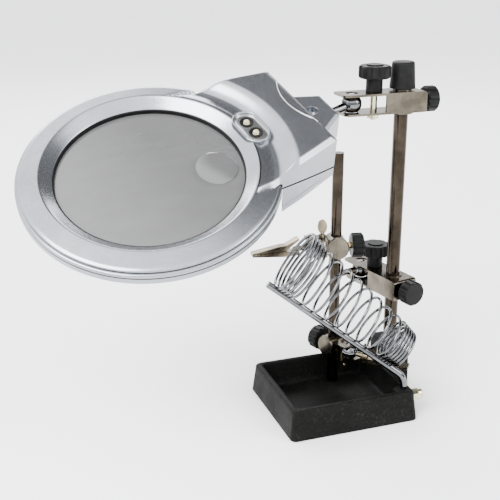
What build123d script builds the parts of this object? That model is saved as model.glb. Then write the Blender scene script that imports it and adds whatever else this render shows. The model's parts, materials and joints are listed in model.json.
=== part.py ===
from build123d import *
import os
from math import cos, radians, sin, sqrt, tan

# Helping hands clamp: a cast tray base with an upright post, two folded brackets on the
# post, an illuminated magnifier on the upper one, a clip rod with two alligator clips on
# the lower one, and a sprung soldering iron holder in the corner of the tray.
# Millimetres. Origin: centre of the underside of the tray. +X along the front wall, +Y to
# the back, +Z up.

# ---------------------------------------------------------------- fits
RUN = 0.05            # radial running clearance of a shaft in its hole
GAP = 0.35            # clearance between faces of pieces that move past each other
SHEET = 1.5           # folded steel strip of the post brackets
CLIP_SHEET = 1.0      # folded steel strip of the clip clamps

# ---------------------------------------------------------------- base tray
TRAY_X, TRAY_Y, TRAY_Z = 96.0, 85.0, 22.0
TRAY_DRAFT = 6.2      # degrees that the walls lean in
TRAY_CORNER = 4.0
RIM = 4.4             # thickness of the wall at the rim
FLOOR = 3.5
LUG_INTO, LUG_OUT = 5.5, 19.0     # lug inside and outside of the tray's foot line
LUG_X0, LUG_X1 = TRAY_X / 2 - LUG_INTO, TRAY_X / 2 + LUG_OUT
LUG_Y0, LUG_Y1 = 7.5, 28.5
LUG_Z = 39.0
LUG_DRAFT = 1.0

# ---------------------------------------------------------------- post and cap
POST_D = 10.0
POST_X, POST_Y = TRAY_X / 2 + 6.5, (LUG_Y0 + LUG_Y1) / 2
POST_FOOT, POST_TOP = 4.0, 238.0
CAP_D, CAP_TOP_D, CAP_H = 18.0, 15.5, 18.0
CAP_GRIP = 12.4       # length of post inside the cap

# ---------------------------------------------------------------- clamp bolts of the base
CLAMP_BOLT_D = 5.0
CLAMP_NUT_AF, CLAMP_NUT_H = 8.0, 4.0
CLAMP_HEAD_D, CLAMP_HEAD_H = 7.6, 4.2
POST_BOLT_Z = 30.0
HOLDER_BOLT_Z = 15.5

# ---------------------------------------------------------------- soldering iron holder
HOLDER_D = 4.8
HOLDER_INSET_X, HOLDER_INSET_Y = 8.1, 9.7     # from the tray's foot line to the rod's axis
HOLDER_X, HOLDER_Y = TRAY_X / 2 - HOLDER_INSET_X, HOLDER_INSET_Y - TRAY_Y / 2
HOLDER_FOOT = 5.0
HOLDER_BEND_Z = 31.0
HOLDER_BEND_R = 11.0
HOLDER_AZ, HOLDER_EL, HOLDER_LEN = 160.1, 35.9, 118.7
BOSS_D = 14.0
WIRE_D = 2.0
WELD = 0.1            # depth that the welded coil sinks into the rod
COIL_START = 4.0      # from the free end of the holder rod to the first turn
MOUTH_TURNS, MOUTH_PITCH = 5, 2.8
OPEN_TURNS, OPEN_PITCH = 8, 9.4
NOSE_TURNS, NOSE_PITCH = 5, 2.5
COIL_MOUTH_R, COIL_NOSE_R = 21.5, 13.0

# ---------------------------------------------------------------- post brackets
BR_W = 20.0           # width of the strip
BALL_D = 14.0
PLATE_BITE = 1.3      # depth that the ball stands into each plate's hole
BR_H = BALL_D + 2 * (SHEET - PLATE_BITE)      # height over both plates
BR_TIP = 48.0         # from the post's axis to the tip
BR_FOLD = 14.5        # from the post's axis to the folded end
BR_BEND = 2.2         # outside radius of the fold
BALL_REACH = 38.0     # from the post's axis to the ball
BOLT_REACH = 21.5     # from the post's axis to the clamp bolt
BR_BOLT_D = 5.0
BR_NUT_AF, BR_NUT_H = 8.0, 3.5
SLEEVE_WALL = 1.5
SLEEVE_D = POST_D + 2 * SLEEVE_WALL
SLEEVE_FLANGE_D, SLEEVE_FLANGE_T = SLEEVE_D + 3.5, 1.0
CAP_CLEAR = 1.6       # from the upper bracket's top face to the cap
UPPER_Z = POST_TOP - CAP_GRIP - CAP_CLEAR     # top face of the upper bracket
LOWER_Z = 88.0        # top face of the lower bracket
UPPER_AZ = 180.0      # directions of the arms in plan
LOWER_AZ = 101.5

# ---------------------------------------------------------------- knobs
WHEEL_D, WHEEL_T, WHEEL_HUB_D, WHEEL_H = 22.0, 8.5, 11.5, 17.5
WHEEL_LOBES = 8
LOCK_D, LOCK_T, LOCK_LOBES = 18.0, 8.5, 12
LOCK_SCREW_D = 5.0
LOCK_STANDOFF = 2.6   # bare screw between the fold and the knob

# ---------------------------------------------------------------- magnifier head
HEAD_AZ, HEAD_EL, HEAD_ROLL = 10.44, 14.89, 26.7   # the stud's line and the turn about it
NECK_L = 19.4         # bare stud, from the block's end to the ball's centre
HEAD_DROP = 19.2      # ball below the front plane of the ring
STUD_D = 5.6
EYE_R = 58.5          # clear opening of the bezel
LIP_R = EYE_R + 7.8   # outer edge of the sloping bezel
SHOULDER_R = LIP_R + 12.9
RING_R = SHOULDER_R + 1.8
RING_T = 11.0
SEAM_W = 7.0          # depth of the seam between the shells, in the ring
SHELL = 2.2
LENS_R = EYE_R + 3.5
LENS_EDGE_T, LENS_DOME = 1.6, 2.6
LENS_FIT = 0.3
BEZEL_DEPTH = 4.7
GASKET_T = 1.2
LED_BOARD_L, LED_BOARD_W, LED_BOARD_T = 11.0, 24.0, 1.2
LED_STAND = 3.0       # height of the lamp bodies above their board
BODY_U0, BODY_U1 = RING_R - 31.0, RING_R + 30.5
BODY_V0, BODY_V1, BODY_V2 = 52.0, 46.0, 39.5      # half widths at the ring, shoulder and end
BODY_SHOULDER_U = RING_R + 3.0
BODY_SEAM_W, BODY_T = 27.0, 31.0
BLOCK_U1 = BODY_U1 + 24.0
HEAD_REACH = BLOCK_U1 + NECK_L
BLOCK_V0, BLOCK_V1 = 22.0, 11.5
BLOCK_W0 = 10.0
BLOCK_ROOT, BLOCK_STEP = 8.0, 4.0     # overlap with the housing, and the straight part beyond it
LED_U, LED_PITCH, LED_D = RING_R - 10.0, 11.0, 5.0
LED_WIN_L, LED_WIN_W, LED_WIN_T = 30.0, 19.0, 2.0
INSET_R, INSET_U, INSET_V = 14.5, EYE_R - 21.5, -15.0     # strong lens set into the main one
INSET_DOME = 1.6
INSET_JOIN = 0.02
CELL_D, CELL_L = 10.5, 44.5
CELL_GAP = 0.6
CELLS_U1 = BODY_U1 - SHELL - 2.0      # battery cover
CELLS_U0 = CELLS_U1 - 2 * CELL_D - 2 * CELL_GAP
CELLS_V = CELL_L / 2 + 2.8
COVER_FIT = 0.2
SWITCH_L, SWITCH_T = 8.0, 4.0
SWITCH_U, SWITCH_W = BODY_SHOULDER_U + 8.0, -17.0     # on the far side wall
SWITCH_TRAVEL = 3.0

# ---------------------------------------------------------------- clip rod and clamps
ROD_D = 8.0
ROD_X, ROD_Y = POST_X - 42.0, POST_Y + 10.0
ROD_FOOT, ROD_TOP = 4.2, 181.0
BARREL_D, BARREL_L = 17.0, 16.0
CLAMP_FLAT = 7.4      # flat on the barrel's side, from the rod's axis
CLAMP_ARM = 22.5      # tip of the clip clamp's plates, from the rod's axis
CLIP_BALL_D = 11.6
CLIP_BITE = 0.5       # depth that the ball stands into each plate's hole
CLAMP_W, CLAMP_H = 15.0, CLIP_BALL_D + 2 * (CLIP_SHEET - CLIP_BITE)
CLIP_BALL_REACH = 18.0
WING_REACH = 10.3
WING_BOLT_D = 2.6
UPPER_CLAMP_Z, UPPER_CLAMP_AZ = 112.0, 167.0
LOWER_CLAMP_Z, LOWER_CLAMP_AZ = 34.0, -72.0
LINK_D = 5.0
LINK_DROP = 3.5       # entry of the link below the middle of the barrel
LINK_ELBOW = 19.5     # elbow of the link behind the rod's axis
LINK_BEND_R = 9.0
BALL_JOIN = 0.03      # gap between a ball and the end of its stud

# ---------------------------------------------------------------- alligator clips
CLIP_L, CLIP_W, CLIP_T = 39.0, 6.4, 0.6
CLIP_NECK = 4.2
CLIP_STUD_D = 3.8
PIVOT_SHARE = 0.28    # pivot pin's place along the jaws
LEVER_LOW = 7.0       # underside of the lever's end above the clip's middle
UPPER_CLIP_AZ, UPPER_CLIP_EL = 176.0, -2.5
LOWER_CLIP_AZ, LOWER_CLIP_EL = -42.0, -5.0


# ================================================================ helpers
def direction(azimuth, elevation=0.0):
    """Unit vector from an azimuth in plan and an elevation, in degrees."""
    a, e = radians(azimuth), radians(elevation)
    return Vector(cos(e) * cos(a), cos(e) * sin(a), sin(e))


def level_plane(x, y, z, azimuth):
    """Upright plane set: local x along the azimuth, local z up."""
    return Plane(origin=(x, y, z), x_dir=direction(azimuth), z_dir=(0, 0, 1))


def bar(start, end, diameter):
    """Round bar between two points."""
    start, end = Vector(*start), Vector(*end)
    along = end - start
    face = Plane(origin=start, z_dir=along)
    return face * Cylinder(diameter / 2, along.length, align=(Align.CENTER, Align.CENTER, Align.MIN))


def disc(radius, height, z=0.0):
    """Upright cylinder standing on z."""
    return Pos(0, 0, z) * Cylinder(radius, height, align=(Align.CENTER, Align.CENTER, Align.MIN))


def slab(x0, x1, y0, y1, z0, z1):
    """Box from its two corners."""
    return Pos((x0 + x1) / 2, (y0 + y1) / 2, (z0 + z1) / 2) * Box(x1 - x0, y1 - y0, z1 - z0)


def along_x(shape):
    """Turns an upright piece so that it points along +X."""
    return Rot(0, 90, 0) * shape


def hexagon(across_flats, height, z=0.0):
    """Upright hexagonal prism."""
    return Pos(0, 0, z) * extrude(RegularPolygon(across_flats / sqrt(3), 6), height)


def fluted(diameter, height, lobes, depth):
    """Round grip with scallops cut round its edge and a soft top edge."""
    grip = disc(diameter / 2, height)
    grip = chamfer(grip.edges().filter_by(GeomType.CIRCLE), 0.9)
    cutter = disc(diameter * 0.9 / lobes, height * 1.2, -height * 0.1)
    reach = diameter / 2 + diameter * 0.9 / lobes - depth
    for k in range(lobes):
        grip -= Rot(0, 0, 360 / lobes * k) * Pos(reach, 0, 0) * cutter
    return grip


def save(shape, name):
    """Writes one node."""
    shape.label = name
    export_step(shape, f"parts/{name}.step")


def group(shapes):
    """Several separate solids in one node."""
    return Compound(children=[shape.solid() for shape in shapes])


# ================================================================ base
def tray_blank(size_x, size_y, height, corner):
    """Tray block with leaning walls."""
    foot = RectangleRounded(size_x, size_y, corner)
    return extrude(foot, height, taper=TRAY_DRAFT)


def make_tray():
    lean = TRAY_Z * tan(radians(TRAY_DRAFT))
    body = tray_blank(TRAY_X, TRAY_Y, TRAY_Z, TRAY_CORNER)
    mouth_x, mouth_y = TRAY_X - 2 * lean - 2 * RIM, TRAY_Y - 2 * lean - 2 * RIM
    depth = TRAY_Z - FLOOR
    mouth = Pos(0, 0, TRAY_Z) * RectangleRounded(mouth_x, mouth_y, TRAY_CORNER)
    body -= extrude(mouth, -depth, taper=TRAY_DRAFT)
    boss = Pos(HOLDER_X, HOLDER_Y, 0) * disc(BOSS_D / 2, TRAY_Z - 1, 1)
    body += boss & tray_blank(TRAY_X, TRAY_Y, TRAY_Z, TRAY_CORNER)
    lug_x, lug_y = (LUG_X0 + LUG_X1) / 2, (LUG_Y0 + LUG_Y1) / 2
    lug = extrude(Pos(lug_x, lug_y, 0) * RectangleRounded(LUG_X1 - LUG_X0, LUG_Y1 - LUG_Y0, 2),
                  LUG_Z, taper=LUG_DRAFT)
    body += lug
    body -= Pos(POST_X, POST_Y, 0) * disc(POST_D / 2, LUG_Z, POST_FOOT)
    body -= Pos(HOLDER_X, HOLDER_Y, 0) * disc(HOLDER_D / 2 + RUN, TRAY_Z, HOLDER_FOOT - 0.2)
    bolt = along_x(disc(CLAMP_BOLT_D / 2, LUG_X1, 0))
    body -= Pos(POST_X, POST_Y, POST_BOLT_Z) * bolt
    body -= Pos(HOLDER_X, HOLDER_Y, HOLDER_BOLT_Z) * bolt
    return body


def make_clamp_bolt(x_axis, y, z, shaft_r, wall_x):
    """Set bolt along X that bears on a shaft, its lock nut against the wall."""
    start = x_axis + shaft_r + RUN
    screw = along_x(disc(CLAMP_BOLT_D / 2, wall_x + CLAMP_NUT_H - start, start - x_axis))
    head = along_x(disc(CLAMP_HEAD_D / 2, CLAMP_HEAD_H, wall_x + CLAMP_NUT_H - x_axis))
    head = fillet(head.edges().sort_by(Axis.X)[-1], 1.6)
    nut = along_x(hexagon(CLAMP_NUT_AF, CLAMP_NUT_H, wall_x - x_axis))
    nut -= along_x(disc(CLAMP_BOLT_D / 2, CLAMP_NUT_H, wall_x - x_axis))
    place = Pos(x_axis, y, z)
    return place * (screw + head), place * nut


# ================================================================ iron holder
HOLDER_DIR = direction(HOLDER_AZ, HOLDER_EL)
HOLDER_UP = (Vector(0, 0, 1) - HOLDER_DIR * HOLDER_DIR.Z).normalized()
HOLDER_SIDE = HOLDER_DIR.cross(HOLDER_UP)
HOLDER_BEND = Vector(HOLDER_X, HOLDER_Y, HOLDER_BEND_Z)
HOLDER_END = HOLDER_BEND + HOLDER_DIR * HOLDER_LEN


def make_holder_rod():
    foot = Vector(HOLDER_X, HOLDER_Y, HOLDER_FOOT)
    path = FilletPolyline(foot, HOLDER_BEND, HOLDER_END, radius=HOLDER_BEND_R)
    return sweep(Plane(origin=foot, z_dir=(0, 0, 1)) * Circle(HOLDER_D / 2), path=path)


def coil_stations():
    """Half-turn stations of the coil: distance from the free end, and the turn's radius."""
    stations = [(COIL_START, COIL_MOUTH_R)]
    stretches = (
        (MOUTH_TURNS, MOUTH_PITCH, COIL_MOUTH_R, COIL_MOUTH_R - 1.5),
        (OPEN_TURNS, OPEN_PITCH, COIL_MOUTH_R - 1.5, COIL_NOSE_R + 1.5),
        (NOSE_TURNS, NOSE_PITCH, COIL_NOSE_R + 1.5, COIL_NOSE_R),
    )
    for turns, pitch, r0, r1 in stretches:
        for k in range(1, 2 * turns + 1):
            share = k / (2 * turns)
            stations.append((stations[-1][0] + pitch / 2, r0 + (r1 - r0) * share))
    return stations


def make_coil():
    """Spring of half circles, each leaning half a pitch, welded along the top of the rod."""
    lift = HOLDER_D / 2 + WIRE_D / 2 - WELD
    points = []
    for k, (distance, radius) in enumerate(coil_stations()):
        height = lift if k % 2 == 0 else lift + 2 * radius
        points.append(HOLDER_END - HOLDER_DIR * distance + HOLDER_UP * height)
    arcs = []
    for k in range(len(points) - 1):
        a, b = points[k], points[k + 1]
        side = 1 if k % 2 == 0 else -1
        middle = (a + b) * 0.5 + HOLDER_SIDE * (side * (b - a).length / 2)
        arcs.append(ThreePointArc(a, middle, b))
    wire = Wire([e for arc in arcs for e in arc.edges()])
    start = Plane(origin=points[0], z_dir=HOLDER_SIDE)
    return sweep(start * Circle(WIRE_D / 2), path=wire)


# ================================================================ post brackets
def bracket_plates():
    """Folded strip and its lower leaf. Local x runs from the post's axis to the tip, z is up
    from the middle of the height."""
    top, inner = BR_H / 2, BR_H / 2 - SHEET
    half = BR_W / 2
    upper = slab(-BR_FOLD, BR_TIP, -half, half, inner, top)
    upper += slab(-BR_FOLD, -BR_FOLD + SHEET, -half, half, -inner, top)
    upper = fillet(upper.edges().filter_by(Axis.Y).sort_by(lambda e: e.center().X - e.center().Z)[0],
                   BR_BEND)
    back = slab(-BR_FOLD + SHEET, BOLT_REACH - BR_BOLT_D, half - SHEET, half, -inner, inner)
    upper += back
    upper = fillet(upper.edges().filter_by(Axis.Z).sort_by(Axis.X)[-2:], 3.0)
    lower = slab(-BR_FOLD, BR_TIP - 1.5, -half, half, -top, -inner)
    lower = fillet(lower.edges().filter_by(Axis.Z).sort_by(Axis.X)[-2:], 5.0)
    seat = sqrt((BALL_D / 2) ** 2 - inner ** 2) + GAP
    holes = disc(SLEEVE_D / 2 + RUN, 2 * top + 2, -top - 1)
    holes += Pos(BALL_REACH, 0, 0) * disc(seat, 2 * top + 2, -top - 1)
    holes += Pos(BOLT_REACH, 0, 0) * disc(BR_BOLT_D / 2 + RUN, 2 * top + 2, -top - 1)
    mouth = slab(BALL_REACH + BALL_D / 2 + 1.2, BR_TIP + 1, -half - 1, half + 1, -top - 1, -inner + 1)
    screw = Pos(-BR_FOLD - 1, 0, 0) * along_x(disc(LOCK_SCREW_D / 2 + RUN, SHEET + 2))
    return upper - holes - screw, lower - holes - mouth


def bracket_sleeve():
    """Flanged bush that slides on the post and carries the bracket."""
    foot = -BR_H / 2 - GAP - SLEEVE_FLANGE_T
    sleeve = disc(SLEEVE_D / 2, BR_H + GAP + 0.8 + SLEEVE_FLANGE_T, foot)
    sleeve += disc(SLEEVE_FLANGE_D / 2, SLEEVE_FLANGE_T, foot)
    sleeve -= disc(POST_D / 2 + RUN, 3 * BR_H, -BR_H)
    return sleeve


def bracket_nut():
    """Hexagonal nut under the clamp bolt, pressed into the lower leaf."""
    nut = hexagon(BR_NUT_AF, BR_NUT_H, -BR_H / 2 - BR_NUT_H)
    nut -= disc(BR_BOLT_D / 2 + RUN, BR_H, -BR_H)
    return Pos(BOLT_REACH, 0, 0) * nut


def wheel_knob():
    """Star wheel on a stepped hub."""
    foot = BR_H / 2 + GAP
    hub = disc(WHEEL_HUB_D / 2, WHEEL_H - WHEEL_T + 1, foot)
    wheel = Pos(0, 0, foot + WHEEL_H - WHEEL_T) * fluted(WHEEL_D, WHEEL_T, WHEEL_LOBES, 1.6)
    crown = disc(WHEEL_HUB_D / 2, 0.8, foot + WHEEL_H)
    knob = hub + wheel + crown
    knob -= disc(BR_BOLT_D / 2, WHEEL_H - 4, foot)
    return Pos(BOLT_REACH, 0, 0) * knob


def wheel_bolt():
    """Threaded stem moulded into the star wheel."""
    foot = -BR_H / 2 - BR_NUT_H - 1.2
    stem = disc(BR_BOLT_D / 2, BR_H / 2 + GAP + WHEEL_H - 4 - foot, foot)
    stem = chamfer(stem.edges().sort_by(Axis.Z)[0], 0.5)
    return Pos(BOLT_REACH, 0, 0) * stem


def lock_screw(shaft_r, wall):
    """Brass screw from the shaft's side out through the wall into its knob, along local -x."""
    end = wall + LOCK_STANDOFF + LOCK_T - 2
    return Rot(0, 180, 0) * along_x(disc(LOCK_SCREW_D / 2, end - shaft_r - GAP, shaft_r + GAP))


def lock_knob(wall):
    """Fluted knob on the lock screw."""
    grip = fluted(LOCK_D, LOCK_T, LOCK_LOBES, 0.9)
    grip -= disc(LOCK_SCREW_D / 2, LOCK_T - 2)
    return Rot(0, 180, 0) * Pos(wall + LOCK_STANDOFF, 0, 0) * along_x(grip)


# ================================================================ magnifier head
BALL_POINT = Vector(POST_X, POST_Y, UPPER_Z - BR_H / 2) + direction(UPPER_AZ) * BALL_REACH
HEAD_U = direction(HEAD_AZ, HEAD_EL)
_rise = (Vector(0, 0, 1) - HEAD_U * HEAD_U.Z).normalized()
_side = _rise.cross(HEAD_U)
HEAD_N = _rise * cos(radians(HEAD_ROLL)) - _side * sin(radians(HEAD_ROLL))
HEAD_PLANE = Plane(origin=BALL_POINT - HEAD_U * HEAD_REACH + HEAD_N * HEAD_DROP, x_dir=HEAD_U, z_dir=HEAD_N)
# local axes of the head: u towards the ball, v across, w out of the front. Depths are -w.


def body_outline(inset=0.0):
    """Plan of the battery housing."""
    pts = [
        (BODY_U0, BODY_V0 - inset), (BODY_SHOULDER_U, BODY_V1 - inset),
        (BODY_U1 - inset, BODY_V2 - inset), (BODY_U1 - inset, -BODY_V2 + inset),
        (BODY_SHOULDER_U, -BODY_V1 + inset), (BODY_U0, -BODY_V0 + inset),
    ]
    return Polygon(*pts, align=None)


def block_outline(inset=0.0):
    """Plan of the stud block on the end of the housing."""
    pts = [
        (BODY_U1 - BLOCK_ROOT, BLOCK_V0 - inset), (BODY_U1 + BLOCK_STEP, BLOCK_V0 - inset),
        (BLOCK_U1 - inset, BLOCK_V1 - inset), (BLOCK_U1 - inset, -BLOCK_V1 + inset),
        (BODY_U1 + BLOCK_STEP, -BLOCK_V0 + inset), (BODY_U1 - BLOCK_ROOT, -BLOCK_V0 + inset),
    ]
    return Polygon(*pts, align=None)


def prism(outline, w_low, w_high):
    """Straight piece between two depths."""
    return Pos(0, 0, w_low) * extrude(outline, w_high - w_low, dir=(0, 0, 1))


def make_front_shell():
    ring = disc(SHOULDER_R, SEAM_W, -SEAM_W)
    ring += disc(RING_R, SEAM_W - 3.0, -SEAM_W)
    body = prism(body_outline(), -BODY_SEAM_W, 0)
    body -= disc(RING_R + GAP, BODY_SEAM_W, -BODY_SEAM_W - SEAM_W)
    shell = ring + body + prism(block_outline(), -BODY_SEAM_W, -BLOCK_W0)
    shell -= prism(body_outline(SHELL), -BODY_SEAM_W, -SEAM_W)
    shell -= prism(body_outline(SHELL), -BODY_SEAM_W, -SHELL) - disc(RING_R + SHELL, BODY_T, -BODY_T)
    shell -= prism(block_outline(SHELL * 1.6), -BODY_SEAM_W, -BLOCK_W0 - SHELL)
    bezel = Pos(0, 0, -BEZEL_DEPTH) * Cone(EYE_R, LIP_R, BEZEL_DEPTH,
                                          align=(Align.CENTER, Align.CENTER, Align.MIN))
    shell -= bezel
    shell -= disc(EYE_R, SEAM_W, -SEAM_W)
    shell -= disc(LENS_R + LENS_FIT, LENS_EDGE_T, -SEAM_W)
    groove = disc(SHOULDER_R - SHELL, SEAM_W - SHELL, -SEAM_W) - disc(LENS_R + SHELL + 3, SEAM_W, -SEAM_W)
    shell -= groove
    shell -= Pos(LED_U, 0, 0) * slab(-LED_BOARD_L / 2 - 0.3, LED_BOARD_L / 2 + 0.3, -LED_BOARD_W / 2 - 0.3,
                                     LED_BOARD_W / 2 + 0.3, -SEAM_W, -SHELL)
    window = Pos(LED_U, 0, -SHELL * 2) * extrude(SlotOverall(LED_WIN_L, LED_WIN_W, rotation=90), SHELL * 3)
    shell -= window
    stud = Pos(BODY_U1, 0, -HEAD_DROP) * along_x(disc(STUD_D / 2 + RUN, HEAD_REACH - BODY_U1))
    return shell - stud


def make_back_shell():
    ring = disc(RING_R, RING_T - SEAM_W, -RING_T)
    ring -= disc(EYE_R, RING_T, -RING_T - 1)
    ring -= disc(LENS_R + LENS_FIT, GASKET_T, -SEAM_W - GASKET_T)
    ring -= (disc(RING_R - SHELL, RING_T, -RING_T + SHELL - 0.4)
             - disc(LENS_R + SHELL, 2 * RING_T, -2 * RING_T))
    lip_r = RING_R + GAP
    end_wall = disc(lip_r + SHELL, BODY_T - SEAM_W - GAP, -BODY_T) - disc(lip_r, BODY_T, -BODY_T - 1)
    end_wall = end_wall & prism(body_outline(SHELL + 0.3), -BODY_T, -SEAM_W)
    floor = prism(body_outline() + block_outline(), -BODY_T, -BODY_SEAM_W)
    floor -= disc(lip_r, BODY_T, -BODY_T - 1)
    tongue = slab(BODY_U0 + 5, lip_r + 1, -14, 14, -RING_T, -RING_T + 2.5)
    tongue -= disc(EYE_R + 6, RING_T, -RING_T)
    cells = slab(CELLS_U0 - COVER_FIT, CELLS_U1 + COVER_FIT, -CELLS_V - COVER_FIT, CELLS_V + COVER_FIT,
                 -BODY_T - 1, -BODY_SEAM_W + 1)
    return (ring + tongue + end_wall + floor) - cells


def make_lens():
    """Main lens: a thin rim with a low dome on each face."""
    rim = disc(LENS_R, LENS_EDGE_T, -LENS_EDGE_T / 2)
    ball_r = (EYE_R ** 2 + LENS_DOME ** 2) / (2 * LENS_DOME)
    dome = Pos(0, 0, LENS_DOME + LENS_EDGE_T / 2 - ball_r) * Sphere(ball_r)
    upper = dome & disc(EYE_R - 2 * LENS_FIT, 2 * LENS_DOME, 0)
    lower = Rot(180, 0, 0) * upper
    seat = Pos(INSET_U, INSET_V, 0) * disc(INSET_R, RING_T, -RING_T / 2)
    return rim + upper + lower - seat


def make_inset():
    """Strong lens set through the main one: a plug with a low dome on its front."""
    plug = disc(INSET_R - INSET_JOIN, LENS_EDGE_T + LENS_DOME, -(LENS_EDGE_T + LENS_DOME) / 2)
    top = (LENS_EDGE_T + LENS_DOME) / 2
    ball_r = (INSET_R ** 2 + INSET_DOME ** 2) / (2 * INSET_DOME)
    dome = Pos(0, 0, top + INSET_DOME - ball_r) * Sphere(ball_r)
    plug += dome & disc(INSET_R - INSET_JOIN, 2 * INSET_DOME, top - INSET_JOIN)
    return Pos(INSET_U, INSET_V, 0) * plug


def head_pieces():
    lens_w = -SEAM_W + LENS_EDGE_T / 2
    pieces = {
        "head_front_shell": make_front_shell(),
        "head_back_shell": make_back_shell(),
        "main_lens": Pos(0, 0, lens_w) * make_lens(),
        "inset_lens": Pos(0, 0, lens_w) * make_inset(),
    }
    gasket_w = -SEAM_W - GASKET_T
    gasket = disc(LENS_R, GASKET_T, gasket_w) - disc(EYE_R + 0.6, 2 * GASKET_T, gasket_w - 0.5)
    pieces["lens_gasket"] = gasket
    window = extrude(SlotOverall(LED_WIN_L - 0.2, LED_WIN_W - 0.2, rotation=90), LED_WIN_T)
    leds, holes = [], []
    for side in (-1, 1):
        v = side * LED_PITCH / 2
        led = Pos(0, v, 0) * disc(LED_D / 2, LED_STAND, -LED_STAND)
        led += Pos(0, v, 0) * Sphere(LED_D / 2) & slab(-LED_D, LED_D, -LED_BOARD_W, LED_BOARD_W, -1, LED_D)
        leds.append(Pos(LED_U, 0, -SHELL) * led)
        holes.append(Pos(0, v, 0) * disc(LED_D / 2 + 0.1, 3 * LED_WIN_T, -LED_WIN_T))
    pieces["led_bezel"] = Pos(LED_U, 0, -SHELL) * (window - holes)
    board = slab(-LED_BOARD_L / 2, LED_BOARD_L / 2, -LED_BOARD_W / 2, LED_BOARD_W / 2, -LED_BOARD_T, 0)
    pieces["led_board"] = Pos(LED_U, 0, -SHELL - LED_STAND) * board
    pieces["leds"] = group(leds)
    cover = slab(CELLS_U0, CELLS_U1, -CELLS_V, CELLS_V, -BODY_T, -BODY_T + SHELL)
    pieces["battery_cover"] = cover
    cells = []
    for k in range(2):
        u = CELLS_U0 + (CELL_GAP + CELL_D) / 2 + k * (CELL_D + CELL_GAP)
        cell = Pos(u, 0, -BODY_T + 2.6 + CELL_D / 2) * Rot(90, 0, 0) * Cylinder(CELL_D / 2, CELL_L)
        cells.append(cell)
    pieces["batteries"] = group(cells)
    contacts = []
    for side in (-1, 1):
        v = side * (CELL_L / 2 + 0.6)
        contacts.append(Pos(0, v, 0) * slab(CELLS_U0 + 2, CELLS_U1 - 2, -0.2, 0.2,
                                            -BODY_T + 4, -BODY_T + CELL_D + 1.6))
    pieces["battery_contacts"] = group(contacts)
    pieces["slide_switch"] = Pos(SWITCH_U, 0, SWITCH_W) * slab(
        -SWITCH_L / 2, SWITCH_L / 2, BODY_V1 - 1.4, BODY_V1 + 2.2, -SWITCH_T / 2, SWITCH_T / 2)
    return pieces


def switch_slot():
    """Slot for the slide switch in the side wall of the front shell."""
    half_u = SWITCH_L / 2 + SWITCH_TRAVEL + GAP
    half_w = SWITCH_T / 2 + GAP
    return Pos(SWITCH_U, 0, SWITCH_W) * slab(-half_u, half_u, BODY_V1 - 6, BODY_V1 + 4, -half_w, half_w)


# ================================================================ alligator clip
def clip_jaw(side):
    """One sheet jaw: a tapering channel, its edge toothed near the tip. Local x is forward,
    z across the pair of jaws."""
    length, half = CLIP_L - CLIP_NECK, CLIP_W / 2
    back, tip = 4.0, 1.3
    profile = Polygon((0, 0.5), (0, back), (length * 0.35, back), (length, tip), (length, 0.25), align=None)
    if side > 0:
        profile = Polygon((0, LEVER_LOW), (0, LEVER_LOW + 1.6), (length * PIVOT_SHARE, back + 0.3),
                          (length * 0.45, back), (length, tip), (length, 0.25),
                          (length * PIVOT_SHARE, 0.5), align=None)
    block = extrude(Plane.XZ * profile, half, both=True)
    inner = Polygon((length * PIVOT_SHARE, 0), (length * PIVOT_SHARE, back - CLIP_T),
                    (length * 0.4, back - CLIP_T), (length - 1.2, tip - CLIP_T), (length - 1.2, 0),
                    align=None)
    block -= extrude(Plane.XZ * inner, half - CLIP_T, both=True)
    teeth = Plane.XZ * Polygon((0, -0.2), (1.6, -0.2), (0.8, 0.8), align=None)
    for k in range(5):
        block -= Pos(length - 3.2 - 2.0 * k, 0, 0) * extrude(teeth, half + 1, both=True)
    return block if side > 0 else Rot(180, 0, 0) * block


def clip_pieces(ball, azimuth, elevation):
    """Fixed jaw and moving jaw in the clip's own frame, with the places of pivot and neck."""
    plane = Plane(origin=ball, x_dir=direction(azimuth, elevation),
                  z_dir=direction(azimuth, elevation + 90))
    start = CLIP_BALL_D / 2 + CLIP_NECK
    fixed = Pos(start, 0, 0) * clip_jaw(-1)
    moving = Pos(start, 0, 0) * clip_jaw(1)
    pin_x = start + (CLIP_L - CLIP_NECK) * PIVOT_SHARE
    return plane, fixed, moving, pin_x, start


# ================================================================ build
os.makedirs("parts", exist_ok=True)

# base
tray = make_tray()
save(tray, "base_tray")
save(bar((POST_X, POST_Y, POST_FOOT), (POST_X, POST_Y, POST_TOP), POST_D), "main_post")
cap_foot = POST_TOP - CAP_GRIP
cap = Cone(CAP_D / 2, CAP_TOP_D / 2, CAP_H, align=(Align.CENTER, Align.CENTER, Align.MIN))
cap = fillet(cap.edges().sort_by(Axis.Z)[-1], 1.5)
cap -= disc(POST_D / 2, POST_TOP - cap_foot)
save(Pos(POST_X, POST_Y, cap_foot) * cap, "post_cap")
nut_reach = CLAMP_NUT_AF / sqrt(3)
lug_lean = (POST_BOLT_Z - nut_reach) * tan(radians(LUG_DRAFT))
wall_lean = (HOLDER_BOLT_Z - nut_reach) * tan(radians(TRAY_DRAFT))
post_bolt, post_nut = make_clamp_bolt(POST_X, POST_Y, POST_BOLT_Z, POST_D / 2, LUG_X1 - lug_lean)
rod_bolt, rod_nut = make_clamp_bolt(HOLDER_X, HOLDER_Y, HOLDER_BOLT_Z, HOLDER_D / 2, TRAY_X / 2 - wall_lean)
save(group([post_bolt, rod_bolt]), "base_clamp_bolts")
save(group([post_nut, rod_nut]), "base_clamp_nuts")

# soldering iron holder
save(make_holder_rod(), "holder_rod")
save(make_coil(), "iron_coil")

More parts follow.
